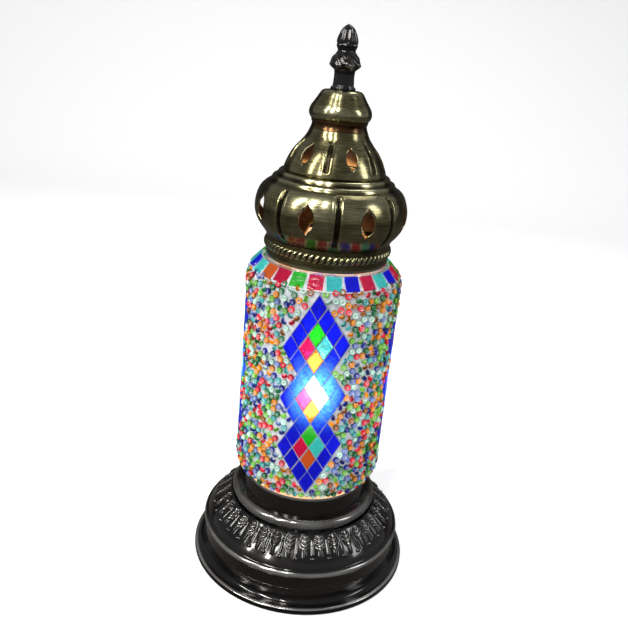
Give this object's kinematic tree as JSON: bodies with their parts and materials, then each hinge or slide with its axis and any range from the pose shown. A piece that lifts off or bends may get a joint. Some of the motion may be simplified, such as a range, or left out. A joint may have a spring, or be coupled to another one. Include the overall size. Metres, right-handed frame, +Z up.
{
  "type": "mosaic glass table lamp",
  "caption": "Table lamp with a tiled and beaded glass cylinder between a cast black base and a pierced, fluted brass cap with a leafy finial.",
  "frame": {"origin": "centre of the underside of the base, on the table", "axes": "+Z up along the lamp's axis, -Y towards the front, +X to the right seen from the front; the cord inlet is at the back, +Y"},
  "size_m": [0.15, 0.15, 0.353],
  "materials": {
    "felt": "matt felt",
    "plated_steel": "zinc plated",
    "black_bronze": "glossy black bronze",
    "black_rubber": "matt",
    "silicone": "satin",
    "black_plastic": "satin",
    "bright_brass": "bright",
    "clear_glass": "clear",
    "grout": "matt cement",
    "seed_beads": "mixed glass seed beads",
    "bulb_opal": "opal",
    "white_plastic": "gloss",
    "led_board": "matt",
    "antique_brass": "antique, brushed round the axis",
    "brown_brass": "dark brown patina",
    "glass_blue": "hammered",
    "glass_crimson": "hammered",
    "glass_green": "hammered",
    "glass_turquoise": "hammered",
    "glass_orange": "hammered"
  },
  "bodies": {
    "base": {"felt_pad": "felt", "bottom_plate": "plated_steel", "base_bell": "black_bronze", "cable_bush": "black_rubber", "bead_ring": "black_bronze", "base_cup": "black_bronze", "stem_tube": "plated_steel", "stem_nuts": "plated_steel", "stem_washers": "plated_steel", "glass_seat": "silicone", "lampholder_cap": "black_plastic", "lampholder_body": "black_plastic", "screw_shell": "bright_brass", "centre_contact": "bright_brass", "glass_shade": "clear_glass", "grout_coat": "grout", "bead_coat": "seed_beads", "panel_tiles_blue": "glass_blue", "panel_tiles_crimson": "glass_crimson", "panel_tiles_green": "glass_green", "panel_tiles_turquoise": "glass_turquoise", "panel_tiles_orange": "glass_orange", "shoulder_tiles_blue": "glass_blue", "shoulder_tiles_crimson": "glass_crimson", "shoulder_tiles_green": "glass_green", "shoulder_tiles_turquoise": "glass_turquoise", "shoulder_tiles_orange": "glass_orange"},
    "bulb": {"bulb_globe": "bulb_opal", "bulb_housing": "white_plastic", "bulb_led_board": "led_board", "bulb_screw_cap": "plated_steel", "bulb_insulator": "black_plastic", "bulb_contact": "bright_brass"},
    "cap": {"neck_gasket": "black_rubber", "cap_collar": "antique_brass", "rope_ring": "antique_brass", "lower_dome": "antique_brass", "upper_dome": "antique_brass", "neck_spacer": "brown_brass", "crown_cup": "antique_brass", "clip_strap": "bright_brass", "tie_rod": "plated_steel", "rod_nuts": "plated_steel"},
    "finial": {"finial": "black_bronze"}
  },
  "joints": [
    {"name": "cap_lift", "type": "slide", "parent": "base", "child": "cap", "axis": [0, 0, 1], "range_m": [0, 0.06]},
    {"name": "finial_turn", "type": "hinge", "parent": "cap", "child": "finial", "pos_m": [0, 0, 0.32], "axis": [0, 0, 1], "continuous": true},
    {"name": "bulb_turn", "type": "hinge", "parent": "base", "child": "bulb", "pos_m": [0, 0, 0.09], "axis": [0, 0, 1], "continuous": true}
  ]
}
